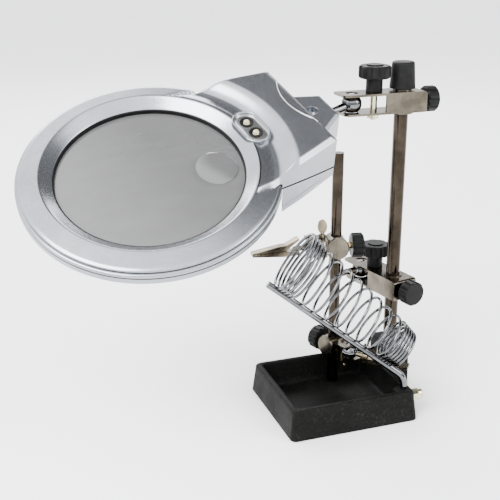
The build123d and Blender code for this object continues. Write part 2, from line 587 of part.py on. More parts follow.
# post brackets
upper_leaf, lower_leaf = bracket_plates()
for prefix, top_z, azimuth in (("upper", UPPER_Z, UPPER_AZ), ("lower", LOWER_Z, LOWER_AZ)):
    plane = level_plane(POST_X, POST_Y, top_z - BR_H / 2, azimuth)
    save(plane * bracket_sleeve(), f"{prefix}_post_sleeve")
    save(plane * upper_leaf, f"{prefix}_bracket_strip")
    save(plane * lower_leaf, f"{prefix}_bracket_leaf")
    save(plane * bracket_nut(), f"{prefix}_bracket_nut")
    save(plane * wheel_bolt(), f"{prefix}_wheel_bolt")
    save(plane * wheel_knob(), f"{prefix}_wheel_knob")
    save(plane * lock_screw(SLEEVE_D / 2, BR_FOLD), f"{prefix}_lock_screw")
    save(plane * lock_knob(BR_FOLD), f"{prefix}_lock_knob")
    save(plane * Pos(BALL_REACH, 0, 0) * Sphere(BALL_D / 2), f"{prefix}_ball")

# magnifier
pieces = head_pieces()
pieces["head_front_shell"] -= switch_slot()
stud_line = along_x(disc(STUD_D / 2, HEAD_REACH - 3 - BODY_U1, 0))
stud_line += along_x(disc(STUD_D / 2 + 1.8, 2.5, BLOCK_U1 - BODY_U1 - SHELL * 1.6 - 2.5 - GAP))
stud = Pos(BODY_U1, 0, -HEAD_DROP) * stud_line
stud -= Pos(HEAD_REACH, 0, -HEAD_DROP) * Sphere(BALL_D / 2 + BALL_JOIN)
save(HEAD_PLANE * stud, "head_stud")
for name, piece in pieces.items():
    save(HEAD_PLANE * piece, name)

# clip rod, its clamps and the link to the lower bracket
save(bar((ROD_X, ROD_Y, ROD_FOOT), (ROD_X, ROD_Y, ROD_TOP), ROD_D), "clip_rod")


def clamp_pieces(prefix, z, azimuth, roll):
    """Turned barrel on the rod, with a folded bracket for a ball on its side."""
    plane = level_plane(ROD_X, ROD_Y, z, azimuth)
    flip = Rot(roll, 0, 0)
    barrel = Rot(90, 0, 0) * Cylinder(BARREL_D / 2, BARREL_L)
    barrel = chamfer(barrel.edges().filter_by(GeomType.CIRCLE), 0.8)
    barrel -= disc(ROD_D / 2 + RUN, 2 * BARREL_D, -BARREL_D)
    barrel -= slab(CLAMP_FLAT, BARREL_D, -BARREL_L, BARREL_L, -BARREL_D, BARREL_D)
    barrel -= Rot(0, 180, 0) * along_x(disc(LOCK_SCREW_D / 2 + RUN, BARREL_D))
    half, top = CLAMP_W / 2, CLAMP_H / 2
    inner = top - CLIP_SHEET
    strip = slab(CLAMP_FLAT, CLAMP_ARM, -half, half, inner, top)
    strip += slab(CLAMP_FLAT, CLAMP_FLAT + CLIP_SHEET, -half, half, -inner, top)
    strip += slab(CLAMP_FLAT, CLAMP_ARM - 1.5, -half, half, -top, -inner)
    seat = sqrt((CLIP_BALL_D / 2) ** 2 - inner ** 2) + GAP
    holes = Pos(CLIP_BALL_REACH, 0, 0) * disc(seat, 2 * CLAMP_H, -CLAMP_H)
    holes += Pos(WING_REACH, 0, 0) * disc(WING_BOLT_D / 2 + RUN, 2 * CLAMP_H, -CLAMP_H)
    strip -= holes
    wing = disc(WING_BOLT_D / 2, 2 * top + 6.5, -top - 1.5)
    wing += disc(WING_BOLT_D, 2.5, top + GAP)
    head = Rot(90, 0, 0) * extrude(Ellipse(3.4, 5.2), 0.9, both=True)
    wing += Pos(0, 0, top + 8.6) * head
    wing = Pos(WING_REACH, 0, 0) * wing
    return {
        f"{prefix}_clamp_barrel": plane * flip * barrel,
        f"{prefix}_clamp_strip": plane * flip * strip,
        f"{prefix}_wing_screw": plane * flip * wing,
        f"{prefix}_clamp_screw": plane * flip * lock_screw(ROD_D / 2, BARREL_D / 2),
        f"{prefix}_clamp_knob": plane * flip * lock_knob(BARREL_D / 2),
        f"{prefix}_clip_ball": plane * flip * Pos(CLIP_BALL_REACH, 0, 0) * Sphere(CLIP_BALL_D / 2),
    }


clamps = clamp_pieces("upper", UPPER_CLAMP_Z, UPPER_CLAMP_AZ, 0)
clamps.update(clamp_pieces("lower", LOWER_CLAMP_Z, LOWER_CLAMP_AZ, 180))

lower_ball = Vector(POST_X, POST_Y, LOWER_Z - BR_H / 2) + direction(LOWER_AZ) * BALL_REACH
barrel_back = direction(UPPER_CLAMP_AZ - 90)
link_top = Vector(ROD_X, ROD_Y, UPPER_CLAMP_Z - LINK_DROP) + barrel_back * (BARREL_L / 2 - 0.6)
link_elbow = Vector(ROD_X, ROD_Y, lower_ball.Z) + barrel_back * LINK_ELBOW
neck = lower_ball + (link_elbow - lower_ball).normalized() * (BALL_D / 2 - 1.5)
link_path = FilletPolyline(neck, link_elbow, link_top, radius=LINK_BEND_R)
link_face = Plane(origin=neck, z_dir=link_elbow - neck)
link = sweep(link_face * Circle(LINK_D / 2), path=link_path)
clamps["upper_clamp_barrel"] -= link
save(link - Pos(*lower_ball) * Sphere(BALL_D / 2 + BALL_JOIN), "link_stud")
for name, piece in clamps.items():
    save(piece, name)

# alligator clips
for prefix, z, clamp_az, azimuth, elevation in (
    ("upper", UPPER_CLAMP_Z, UPPER_CLAMP_AZ, UPPER_CLIP_AZ, UPPER_CLIP_EL),
    ("lower", LOWER_CLAMP_Z, LOWER_CLAMP_AZ, LOWER_CLIP_AZ, LOWER_CLIP_EL),
):
    ball = Vector(ROD_X, ROD_Y, z) + direction(clamp_az) * CLIP_BALL_REACH
    plane, fixed, moving, pin_x, start = clip_pieces(ball, azimuth, elevation)
    neck = along_x(disc(CLIP_STUD_D / 2, start + 4 - 3, 3)) - Sphere(CLIP_BALL_D / 2 + BALL_JOIN)
    pin = Pos(pin_x, 0, 0) * Rot(90, 0, 0) * Cylinder(0.9, CLIP_W - 0.2)
    bore = Pos(pin_x, 0, 0) * Rot(90, 0, 0) * Cylinder(0.9 + RUN, 2 * CLIP_W)
    save(plane * neck, f"{prefix}_clip_stud")
    save(plane * (fixed - bore - neck), f"{prefix}_clip_fixed_jaw")
    save(plane * (moving - bore), f"{prefix}_clip_moving_jaw")
    save(plane * pin, f"{prefix}_clip_pin")
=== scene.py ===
import json
import math

import bmesh
import bpy
import numpy as np
from mathutils import Matrix, Vector


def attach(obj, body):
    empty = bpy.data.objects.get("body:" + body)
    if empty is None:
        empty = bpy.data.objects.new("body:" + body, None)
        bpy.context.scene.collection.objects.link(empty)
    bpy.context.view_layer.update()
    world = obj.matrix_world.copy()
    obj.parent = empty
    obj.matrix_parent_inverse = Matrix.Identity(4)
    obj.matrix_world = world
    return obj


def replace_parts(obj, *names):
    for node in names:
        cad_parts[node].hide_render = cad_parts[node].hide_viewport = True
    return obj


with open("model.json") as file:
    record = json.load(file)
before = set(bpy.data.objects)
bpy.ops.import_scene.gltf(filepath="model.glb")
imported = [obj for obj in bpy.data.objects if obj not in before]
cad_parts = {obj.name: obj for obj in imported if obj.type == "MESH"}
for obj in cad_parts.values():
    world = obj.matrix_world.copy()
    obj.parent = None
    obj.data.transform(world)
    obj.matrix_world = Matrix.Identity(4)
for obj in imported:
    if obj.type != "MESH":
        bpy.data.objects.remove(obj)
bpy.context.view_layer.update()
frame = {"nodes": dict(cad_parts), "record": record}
MM = 0.001

# ------------------------------------------------------------------ sizes, in millimetres
BALL = np.array((16.5, 18.0, 216.8))          # centre of the magnifier's ball
HEAD_AZ, HEAD_EL, HEAD_ROLL = 10.44, 14.89, 26.7
HEAD_REACH, HEAD_DROP = 154.9, 19.2
EYE_R, LIP_R, SHOULDER_R, RING_R = 58.5, 66.3, 79.2, 81.0
SEAM_W = 7.0                                  # seam between the two shells of the ring
COVE_R, RIDGE_R, COVE_DEPTH = 76.0, 92.0, 2.4
PLATEAU, PLATEAU_FALL = 3.0, 0.9              # height by the ridge, and its fall to the end
HOUSING_END, HOUSING_SEAM = 111.5, 27.0
HOUSING_SHARES, HOUSING_HALVES = (0, 0.55, 1), (52.5, 45.5, 39.5)   # half widths along it
CHAMFER = 3.0
BLOCK_U = (106.0, 115.5, 135.5)               # stud block: from, where it starts to narrow, to
BLOCK_HALVES, BLOCK_TOP = (22.0, 22.0, 11.5), -10.0
SCREW_U, SCREW_DEPTH = 121.0, 4.0
LED_U, LED_V, LED_PITCH, LED_R = 71.8, -2.2, 11.0, 1.9
WINDOW_L, WINDOW_W = 31.0, 18.0
LENS_R, LENS_W, LENS_BULGE = 59.6, -8.2, 2.6
TRIM_R, TRIM_V, TRIM_RISE = 37.8, 3.0, 9.2    # the arc's radius, middle and reach from the end
INSET_R, INSET_U, INSET_V = 14.5, 37.0, -15.0
TRAY_X, TRAY_Y, TRAY_Z, TRAY_DRAFT, TRAY_CORNER = 96.0, 85.0, 22.0, 6.2, 4.0
RIM, FLOOR_T = 4.4, 3.5
LUG = (42.5, 67.0, 7.5, 28.5, 39.0)           # x from, x to, y from, y to, height
HOLDER_BEND = np.array((39.9, -32.8, 31.0))
HOLDER_AZ, HOLDER_EL, HOLDER_LEN = 160.1, 35.9, 118.7
HOLDER_D, WIRE_D = 4.8, 2.0
COIL_TURNS = (0, 5, 13, 18)                   # turns wound where the coil changes, with
COIL_PLACES = (4.0, 18.0, 93.2, 105.7)        # the distance from the rod's end there, and
COIL_RADII = (21.5, 20.0, 14.5, 13.0)         # the coil's radius
SEAM_FROM = 62.0                              # where the housing's seam line starts
CARD_TOWARDS = (0.55, 0.35, 0.76)             # direction of the studio's dark card
LIGHTS = {                                    # place and size in metres, power in watts
    "key": ((-0.9, -0.5, 1.1), (0.9, 0.6), 40),
    "fill": ((0.9, -0.9, 0.8), (0.5, 0.9), 12),
    "back": ((0.1, 1.2, 1.0), (1.4, 0.5), 20),
}
LIT = (-0.05, 0.0, 0.12)                      # where they point
CAMERA_PLACE, CAMERA_GAZE, CAMERA_ROLL = (-0.25315, -0.55056, 0.32916), (0.3083, 0.8928, -0.3285), -0.15


# ------------------------------------------------------------------ frames and grids
def heading(azimuth, elevation=0.0):
    """Unit vector from an azimuth in plan and an elevation, in degrees."""
    a, e = math.radians(azimuth), math.radians(elevation)
    return np.array((math.cos(e) * math.cos(a), math.cos(e) * math.sin(a), math.sin(e)))


def unit(v):
    return v / np.linalg.norm(v)


HEAD_U = heading(HEAD_AZ, HEAD_EL)
RISE = unit(np.array((0, 0, 1)) - HEAD_U * HEAD_U[2])
ROLL = math.radians(HEAD_ROLL)
HEAD_N = RISE * math.cos(ROLL) - np.cross(RISE, HEAD_U) * math.sin(ROLL)
HEAD_V = np.cross(HEAD_N, HEAD_U)
LENS_MIDDLE = BALL - HEAD_U * HEAD_REACH + HEAD_N * HEAD_DROP


def in_head(u, v, w):
    """Row frame points of the head's own u (towards the ball), v (across) and w (out)."""
    u, v, w = np.broadcast_arrays(u, v, w)
    return LENS_MIDDLE + u[..., None] * HEAD_U + v[..., None] * HEAD_V + w[..., None] * HEAD_N


def skin(name, points, material, body, caps=False, loop=False, crease=32):
    """A closed surface from a grid of points whose columns run round and meet. The rows'
    two ends meet each other (loop), or each is closed with a fan to its middle (caps), or
    only the last is (caps="last") and the first is a flat loop that is welded shut.
    The faces are turned so that the enclosed volume is positive."""
    rows, cols = points.shape[:2]
    verts = points.reshape(-1, 3) * MM
    r = np.arange(rows if loop else rows - 1)[:, None]
    c = np.arange(cols)[None, :]
    quads = np.stack(np.broadcast_arrays(
        r * cols + c, r * cols + (c + 1) % cols,
        (r + 1) % rows * cols + (c + 1) % cols, (r + 1) % rows * cols + c), -1).reshape(-1, 4)
    fans = np.zeros((0, 3), int)
    if caps:
        ends = np.stack((points[0].mean(0), points[-1].mean(0))) * MM
        verts = np.concatenate((verts, ends))
        ring, ahead = np.arange(cols), (np.arange(cols) + 1) % cols
        low = np.stack((np.full(cols, rows * cols), ahead, ring), -1)
        last = (rows - 1) * cols
        high = np.stack((np.full(cols, rows * cols + 1), ring + last, ahead + last), -1)
        fans = high if caps == "last" else np.concatenate((low, high))
    tris = np.concatenate((quads[:, :3], quads[:, [0, 2, 3]], fans))
    a, b, d = verts[tris[:, 0]], verts[tris[:, 1]], verts[tris[:, 2]]
    if np.einsum("ij,ij->i", a, np.cross(b, d)).sum() < 0:
        quads, fans = quads[:, ::-1], fans[:, ::-1]
    mesh = bpy.data.meshes.new(name)
    mesh.from_pydata(verts.tolist(), [], quads.tolist() + fans.tolist())
    if caps == "last":
        shell = bmesh.new()
        shell.from_mesh(mesh)
        bmesh.ops.remove_doubles(shell, verts=shell.verts, dist=1e-6)
        bmesh.ops.delete(shell, geom=[v for v in shell.verts if not v.link_faces], context="VERTS")
        shell.to_mesh(mesh)
        shell.free()
    mesh.polygons.foreach_set("use_smooth", np.ones(len(mesh.polygons), bool))
    mesh.set_sharp_from_angle(angle=math.radians(crease))
    piece = bpy.data.objects.new(name, mesh)
    bpy.context.scene.collection.objects.link(piece)
    mesh.materials.append(material)
    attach(piece, body)
    return piece


def dense(profile, step=0.5):
    """A polyline's points with more added evenly along each run."""
    profile = np.array(profile, float)
    runs = []
    for a, b in zip(profile[:-1], profile[1:]):
        n = max(1, int(np.linalg.norm(b - a) / step))
        runs.append(a + (b - a) * np.linspace(0, 1, n, endpoint=False)[:, None])
    return np.concatenate(runs + [profile[-1:]])


def eased(profile, passes=2):
    """Corner cutting of a closed profile: each corner becomes two points, a quarter in."""
    p = np.array(profile, float)
    for _ in range(passes):
        q = np.roll(p, -1, axis=0)
        p = np.stack((0.75 * p + 0.25 * q, 0.25 * p + 0.75 * q), 1).reshape(-1, p.shape[1])
    return p


def head_ring(profile, around=192):
    """A closed (radius, w) profile turned round the lens's axis."""
    turn = np.linspace(0, 2 * math.pi, around, endpoint=False)[None, :]
    r, w = profile[:, 0][:, None], profile[:, 1][:, None]
    return in_head(r * np.cos(turn), r * np.sin(turn), w + 0 * turn)


def tube(path, radius, sides=14, up=(0, 0, 1)):
    """A round section of the given radius carried along a path. Its frame is the path's
    tangent, and the part of `up` across it."""
    ahead = np.gradient(path, axis=0)
    ahead /= np.linalg.norm(ahead, axis=1)[:, None]
    side = np.cross(ahead, np.array(up, float))
    side /= np.linalg.norm(side, axis=1)[:, None]
    top = np.cross(side, ahead)
    turn = np.linspace(0, 2 * math.pi, sides, endpoint=False)[None, :, None]
    return path[:, None] + radius * (np.cos(turn) * side[:, None] + np.sin(turn) * top[:, None])


def ramp(x, low, high):
    """Smooth step from 0 at low to 1 at high."""
    t = np.clip((x - low) / (high - low), 0, 1)
    return t * t * (3 - 2 * t)


# ------------------------------------------------------------------ shader expressions
class Value:
    """A socket in an expression. Adding to it, or scaling it, adds a Math node."""

    def __init__(self, finish, socket):
        self.finish, self.socket = finish, socket

    def math(self, operation, *others):
        return self.finish.node("ShaderNodeMath", {"operation": operation}, [self, *others])

    def __add__(self, other): return self.math("ADD", other)
    def __mul__(self, other): return self.math("MULTIPLY", other)


class Finish:
    """A material under construction."""

    def __init__(self, name):
        self.material = bpy.data.materials.new(name)
        self.material.use_nodes = True
        self.tree = self.material.node_tree
        self.shader = self.tree.nodes["Principled BSDF"]
        self.place = self.node("ShaderNodeTexCoord", out="Object")

    def node(self, kind, settings=None, inputs=(), out=0):
        """Adds one node: its settings first, then its inputs by place or by name."""
        node = self.tree.nodes.new(kind)
        for key, value in (settings or {}).items():
            if key == "stops":
                stops = node.color_ramp.elements
                for k, (position, colour) in enumerate(value):
                    stop = stops[k] if k < 2 else stops.new(position)
                    stop.position, stop.color = position, (*colour, 1)
            else:
                setattr(node, key, value)
        pairs = inputs.items() if isinstance(inputs, dict) else enumerate(inputs)
        for key, value in pairs:
            self.feed(node.inputs[key], value)
        return Value(self, node.outputs[out])

    def feed(self, socket, value):
        if isinstance(value, Value):
            self.tree.links.new(value.socket, socket)
        else:
            socket.default_value = value

    def noise(self, scale, detail=4.0, rough=0.6, place=None):
        inputs = {"Vector": place or self.place, "Scale": scale, "Detail": detail, "Roughness": rough}
        return self.node("ShaderNodeTexNoise", None, inputs)

    def stretched(self, x, y, z):
        return self.node("ShaderNodeMapping", None, {"Vector": self.place, "Scale": (x, y, z)})

    def band(self, value, low, high, a=0.0, b=1.0):
        """Value clipped from low..high to a..b."""
        return self.node("ShaderNodeMapRange", None, [value, low, high, a, b])

    def colours(self, value, *stops):
        return self.node("ShaderNodeValToRGB", {"stops": stops}, [value])

    def bump(self, height, strength, distance=0.0003):
        return self.node("ShaderNodeBump", None,
                         {"Height": height, "Strength": strength, "Distance": distance})

    def finish(self, **sockets):
        for key, value in sockets.items():
            self.feed(self.shader.inputs[key.replace("_", " ")], value)
        return self.material


def silver_paint():
    """Metallic paint on moulded plastic: fine flakes, a slight cloud, a clear coat."""
    f = Finish("silver_paint")
    flake = f.noise(2600, 2)
    cloud = f.noise(45, 3)
    colour = f.colours(f.band(flake * 0.7 + cloud * 0.3, 0.3, 0.7),
                       (0.0, (0.19, 0.20, 0.22)), (1.0, (0.33, 0.345, 0.37)))
    return f.finish(Base_Color=colour, Metallic=0.94, Roughness=f.band(flake, 0.3, 0.7, 0.20, 0.28),
                    Coat_Weight=0.08, Coat_Roughness=0.12, Normal=f.bump(flake, 0.12, 0.00006))


def plated(name, light, dark, low, high, scratch=0.05):
    """Plated steel: faint cloudy tint, drawing lines along Z and hairline scratches."""
    f = Finish(name)
    lines = f.noise(900, 3, 0.7, f.stretched(1.0, 1.0, 0.03))
    cloud = f.noise(70, 4)
    colour = f.colours(f.band(cloud, 0.35, 0.68), (0.0, dark), (1.0, light))
    polish = f.band(lines * 0.5 + cloud * 0.5, 0.3, 0.7, low, high)
    return f.finish(Base_Color=colour, Metallic=1.0, Roughness=polish,
                    Normal=f.bump(lines, scratch, 0.00005))


def moulded_black(name, tone, rough, grain):
    """Black moulding: very fine grain and rubbed patches that are a little shinier."""
    f = Finish(name)
    fine, wear = f.noise(1500, 3), f.noise(120, 4)
    colour = f.colours(f.band(wear, 0.35, 0.7), (0.0, (tone, tone, tone * 1.04)),
                       (1.0, (tone * 2.2, tone * 2.2, tone * 2.2)))
    return f.finish(Base_Color=colour, Specular_IOR_Level=0.08,
                    Roughness=f.band(wear, 0.3, 0.7, rough, rough + 0.16),
                    Normal=f.bump(fine, grain, 0.00015))


def crinkle_enamel():
    """Black enamel on cast iron: a crinkled skin over a sandy casting. Its colour follows the sand's
    height, with a random cloud mixed in: painted shade darkens the hollows and a painted highlight
    lightens the raised grain.
    """
    f = Finish("crinkle_enamel")
    crinkle = f.node("ShaderNodeTexVoronoi", {"feature": "F1"}, {"Vector": f.place, "Scale": 1300.0})
    sand, cloud = f.noise(620, 6, 0.7), f.noise(60, 4)
    height = crinkle * 0.5 + sand
    # painted shade and highlight: darker in the sand's hollows, lighter on its raised grain; the cloud
    # part is random tone
    colour = f.colours(f.band(sand * 0.7 + cloud * 0.3, 0.38, 0.66), (0.0, (0.002, 0.002, 0.002)),
                       (0.7, (0.006, 0.006, 0.0055)), (1.0, (0.024, 0.023, 0.021)))
    return f.finish(Base_Color=colour, Specular_IOR_Level=0.05,
                    Roughness=f.band(cloud, 0.3, 0.7, 0.42, 0.6),
                    Normal=f.bump(height, 0.55, 0.00045))


def zinc_yellow():
    """Zinc plating with the green and gold bloom of its passivation."""
    f = Finish("zinc_yellow")
    bloom = f.noise(320, 3)
    colour = f.colours(f.band(bloom, 0.35, 0.65), (0.0, (0.55, 0.52, 0.30)), (0.5, (0.70, 0.66, 0.52)),
                       (1.0, (0.42, 0.50, 0.22)))
    return f.finish(Base_Color=colour, Metallic=1.0, Roughness=f.band(bloom, 0.3, 0.7, 0.14, 0.3))


def lens_glass():
    """Acrylic lens: grey and nearly clear, with faint wiping marks."""
    f = Finish("lens_acrylic")
    wipe = f.noise(40, 3, 0.5, f.stretched(1.0, 3.0, 1.0))
    colour = f.colours(f.band(wipe, 0.35, 0.65), (0.0, (0.080, 0.080, 0.081)),
                       (1.0, (0.088, 0.088, 0.089)))
    return f.finish(Base_Color=colour, Roughness=f.band(wipe, 0.3, 0.7, 0.02, 0.05), Alpha=0.88,
                    Specular_IOR_Level=0.6, Coat_Weight=0.5, Coat_Roughness=0.02)


def lamp_resin():
    """Clear lamp domes with a pale yellow heart."""
    f = Finish("lamp_resin")
    tint = f.noise(400, 2)
    colour = f.colours(tint, (0.3, (0.55, 0.46, 0.20)), (0.7, (0.85, 0.78, 0.50)))
    return f.finish(Base_Color=colour, Roughness=0.05, Transmission_Weight=0.5, Coat_Weight=0.6)


def printed_board():
    f = Finish("board_mask")
    weave = f.noise(500, 3)
    colour = f.colours(weave, (0.3, (0.02, 0.12, 0.05)), (0.7, (0.04, 0.20, 0.09)))
    return f.finish(Base_Color=colour, Roughness=f.band(weave, 0.3, 0.7, 0.3, 0.45))


def cell_sleeve():
    f = Finish("cell_sleeve")
    cloud = f.noise(150, 3)
    colour = f.colours(cloud, (0.3, (0.03, 0.04, 0.06)), (0.7, (0.06, 0.07, 0.10)))
    return f.finish(Base_Color=colour, Roughness=f.band(cloud, 0.3, 0.7, 0.25, 0.35), Metallic=0.4)


SILVER = silver_paint()
NICKEL = plated("nickel_rod", (0.040, 0.032, 0.024), (0.018, 0.014, 0.010), 0.08, 0.18)
STRIP = plated("nickel_strip", (0.15, 0.132, 0.103), (0.07, 0.06, 0.046), 0.12, 0.26, 0.08)
CLIP = plated("nickel_clip", (0.26, 0.22, 0.155), (0.12, 0.10, 0.07), 0.14, 0.30, 0.10)
CHROME = plated("bright_chrome", (0.15, 0.153, 0.16), (0.085, 0.087, 0.092), 0.03, 0.10)
PLATE = plated("lamp_plate", (0.92, 0.92, 0.90), (0.80, 0.80, 0.78), 0.10, 0.20)
BRASS = plated("turned_brass", (0.50, 0.40, 0.22), (0.34, 0.26, 0.13), 0.14, 0.28)
KNOB = moulded_black("black_knob", 0.004, 0.30, 0.10)
RUBBER = moulded_black("black_rubber", 0.004, 0.36, 0.18)
ENAMEL, ZINC, LENS = crinkle_enamel(), zinc_yellow(), lens_glass()
LAMP, BOARD, SLEEVE = lamp_resin(), printed_board(), cell_sleeve()

FINISHES = {
    "black_cast_iron": ENAMEL, "nickel_rod": NICKEL, "black_rubber": RUBBER, "zinc_bolt": ZINC,
    "bright_chrome": CHROME, "nickel_strip": STRIP, "polished_ball": CHROME, "black_plastic": KNOB,
    "brass_screw": BRASS, "silver_shell": SILVER, "clear_lens": LENS, "circuit_board": BOARD,
    "battery_sleeve": SLEEVE, "nickel_clip": CLIP,
}
SLOTS = {finish.name: slot for slot, finish in reversed(FINISHES.items())}
SLOTS[LAMP.name], SLOTS[PLATE.name] = "clear_lens", "silver_shell"
for part in frame["record"]["subparts"]:
    slots = frame["nodes"][part["node"]].data.materials
    slots.clear()
    slots.append(LAMP if part["node"] == "leds" else FINISHES[part["material_slot"]])


# ------------------------------------------------------------------ magnifier
def front_ring():
    """Front moulding of the ring: bezel sloping in to the lens, flange falling outwards,
    undercut groove and lower flange, as one closed profile turned round the lens's axis.
    Under the housing the flange drops, and leaves its place to the cove."""
    profile = eased(dense([
        (EYE_R, -SEAM_W), (EYE_R, -5.4), (EYE_R + 0.9, -4.7), (LIP_R - 1.6, -1.0), (LIP_R, 0.0),
        (LIP_R + 0.9, -0.1), (77.4, -2.2), (SHOULDER_R, -3.0), (SHOULDER_R, -3.7), (78.3, -3.9),
        (78.3, -4.3), (80.4, -4.5), (RING_R, -5.2), (RING_R, -SEAM_W), (EYE_R, -SEAM_W)], 1.2), 2)
    turn = np.linspace(0, 2 * math.pi, 240, endpoint=False)[None, :]
    r, w = profile[:, 0][:, None], profile[:, 1][:, None]
    u, v = r * np.cos(turn), r * np.sin(turn)
    inside = (1 - ramp(np.abs(v), 50.0, 52.0)) * (u > 0) * ramp(r, LIP_R + 0.4, LIP_R + 2.4)
    w = np.maximum(w - 4.4 * inside, -SEAM_W)
    return skin("ring_front", in_head(u, v, w), SILVER, "magnifier", loop=True)


def housing_height(u, v, half):
    """Height of the housing's front: a cove that dips beyond the ring and rises to a raised
    plateau, which falls slightly to the end, and a chamfer along the sides and end."""
    r = np.hypot(u, v)
    cove = -COVE_DEPTH * ramp(r, LIP_R, COVE_R) * (1 - ramp(r, COVE_R + 2, RIDGE_R))
    plateau = PLATEAU * ramp(r, COVE_R + 2, RIDGE_R) - PLATEAU_FALL * ramp(r, RIDGE_R + 1, 121)
    edge = np.minimum(half - np.abs(v), HOUSING_END - u)
    return cove + plateau - CHAMFER * (1 - ramp(edge, -1.0, 3.8))


def housing():
    """Battery housing: sections across the head, from inside the ring to the end wall. Each
    goes over the front and back along the underside. The first is a flat, closed slit."""
    s = np.linspace(0, 1, 150)[:, None]
    across = np.linspace(-1, 1, 110)[None, :]
    half = np.interp(s, HOUSING_SHARES, HOUSING_HALVES)
    v = across * half
    u = (1 - s) * np.sqrt((LIP_R + 1) ** 2 - v ** 2) + s * HOUSING_END
    top = housing_height(u, v, half)
    top[0] = -SEAM_W
    deep = np.where(np.hypot(u, v) < RING_R + 0.4, -SEAM_W, -HOUSING_SEAM)
    u, v = np.concatenate((u, u[:, ::-1]), 1), np.concatenate((v, v[:, ::-1]), 1)
    return skin("housing_front", in_head(u, v, np.concatenate((top, deep[:, ::-1]), 1)),
                SILVER, "magnifier", caps="last", crease=40)


def stud_block():
    """Block that takes the stud: it narrows to its end, its front is chamfered all round and
    has a round screw recess."""
    u = np.linspace(BLOCK_U[0], BLOCK_U[-1], 110)[:, None]
    across = np.linspace(-1, 1, 120)[None, :]
    half = np.interp(u, BLOCK_U, BLOCK_HALVES)
    v = across * half
    edge = np.minimum(half - np.abs(v), BLOCK_U[-1] - u)
    recess = SCREW_DEPTH * (1 - ramp(np.hypot(u - SCREW_U, v), 3.2, 4.1))
    top = BLOCK_TOP - 2.4 * (1 - ramp(edge, -1, 3.2)) - recess
    u = np.broadcast_to(u, v.shape)
    low = np.full(v.shape, -HOUSING_SEAM)
    points = in_head(np.concatenate((u, u[:, ::-1]), 1), np.concatenate((v, v[:, ::-1]), 1),
                     np.concatenate((top, low), 1))
    return skin("stud_block", points, SILVER, "magnifier", caps=True, crease=40)


def stadium(length, width, count=96):
    """Outline of a slot with round ends, its long way across the head."""
    turn = np.linspace(0, 2 * math.pi, count, endpoint=False)
    r = width / 2
    return r * np.cos(turn), r * np.sin(turn) + np.sign(np.sin(turn)) * (length - width) / 2


def window_surround():
    """Raised rim round the lamps: a rounded section carried round a slot's outline."""
    section = eased([(0.0, -4.2), (0.0, 1.6), (0.6, 2.3), (1.6, 2.1), (2.0, 0.4), (2.0, -4.2)], 2)
    rows = []
    for inset, w in section:
        x, y = stadium(WINDOW_L - 2 * inset, WINDOW_W - 2 * inset)
        rows.append(in_head(LED_U + x, LED_V + y, np.full(x.shape, w - 0.8)))
    return skin("window_rim", np.array(rows), SILVER, "magnifier", loop=True)


def window_plate():
    """Bright plate inside the rim: a slot's outline, stepped in at its top edge."""
    rows = []
    for inset, w in ((1.2, -4.0), (1.2, -0.5), (1.6, -0.3), (4.0, -0.2)):
        x, y = stadium(WINDOW_L - 2 * inset, WINDOW_W - 2 * inset)
        rows.append(in_head(LED_U + x, LED_V + y, np.full(x.shape, w)))
    return skin("window_plate", np.array(rows), PLATE, "magnifier", caps=True)


def round_lamp(side, r, w, around):
    """Grid of a (radius, w) profile turned round one lamp's own axis."""
    turn = np.linspace(0, 2 * math.pi, around, endpoint=False)[None, :]
    return in_head(LED_U + r * np.cos(turn), LED_V + side * LED_PITCH / 2 + r * np.sin(turn),
                   w + 0 * turn)


def lamp_dome(side):
    """Lamp: a ball cap on a short collar."""
    rise = np.linspace(0, math.pi / 2 - 0.05, 14)[:, None]
    r, w = LED_R * np.cos(rise), 0.1 + 1.6 * np.sin(rise)
    r, w = np.concatenate(([[LED_R]], r)), np.concatenate(([[-2.0]], w))
    return skin("lamp_left" if side > 0 else "lamp_right", round_lamp(side, r, w, 40), LAMP,
                "magnifier", caps=True)


def lamp_cup(side):
    """Dark cup round a lamp."""
    profile = eased([(LED_R, -2.0), (LED_R + 0.1, -0.1), (3.4, 0.2), (4.1, 0.6), (4.5, 0.3),
                     (4.5, -2.0)], 2)
    points = round_lamp(side, profile[:, 0][:, None], profile[:, 1][:, None], 48)
    name = "lamp_cup_left" if side > 0 else "lamp_cup_right"
    return skin(name, points, RUBBER, "magnifier", loop=True)


def lens_disc():
    """Lens: two shallow spherical caps, and a rim between them."""
    out = np.linspace(0.4, LENS_R, 60)
    r = np.concatenate((out, out[::-1]))
    bulge = LENS_BULGE * (1 - (r / LENS_R) ** 2)
    w = LENS_W + np.where(np.arange(120) < 60, bulge, -bulge * 0.6 - 1.4)
    return skin("lens_disc", head_ring(np.stack((r, w), 1), 160), LENS, "magnifier", caps=True)


def inset_dome():
    """Strong lens: a steep small cap on the main one's front."""
    r = np.concatenate((np.linspace(0.2, INSET_R, 24), [INSET_R, 0.2]))[:, None]
    w = np.concatenate((2.3 * (1 - (r[:24] / INSET_R) ** 2), [[-1.5], [-1.5]])) - 7.0
    turn = np.linspace(0, 2 * math.pi, 72, endpoint=False)[None, :]
    points = in_head(INSET_U + r * np.cos(turn), INSET_V + r * np.sin(turn), w + 0 * turn)
    return skin("inset_dome", points, LENS, "magnifier", caps=True)


def gasket_wall():
    """Black seal between the bezel's edge and the lens."""
    profile = np.array([(57.8, -8.8), (57.9, -5.6), (58.7, -5.3), (58.8, -8.8)])
    return skin("gasket_wall", head_ring(profile), RUBBER, "magnifier", loop=True)


def seam_line():
    """Dark joint line between the two shells of the ring."""
    profile = np.array([(80.0, -7.3), (80.0, -6.8), (81.05, -6.8), (81.05, -7.3)])
    return skin("seam_line", head_ring(profile), RUBBER, "magnifier", loop=True)


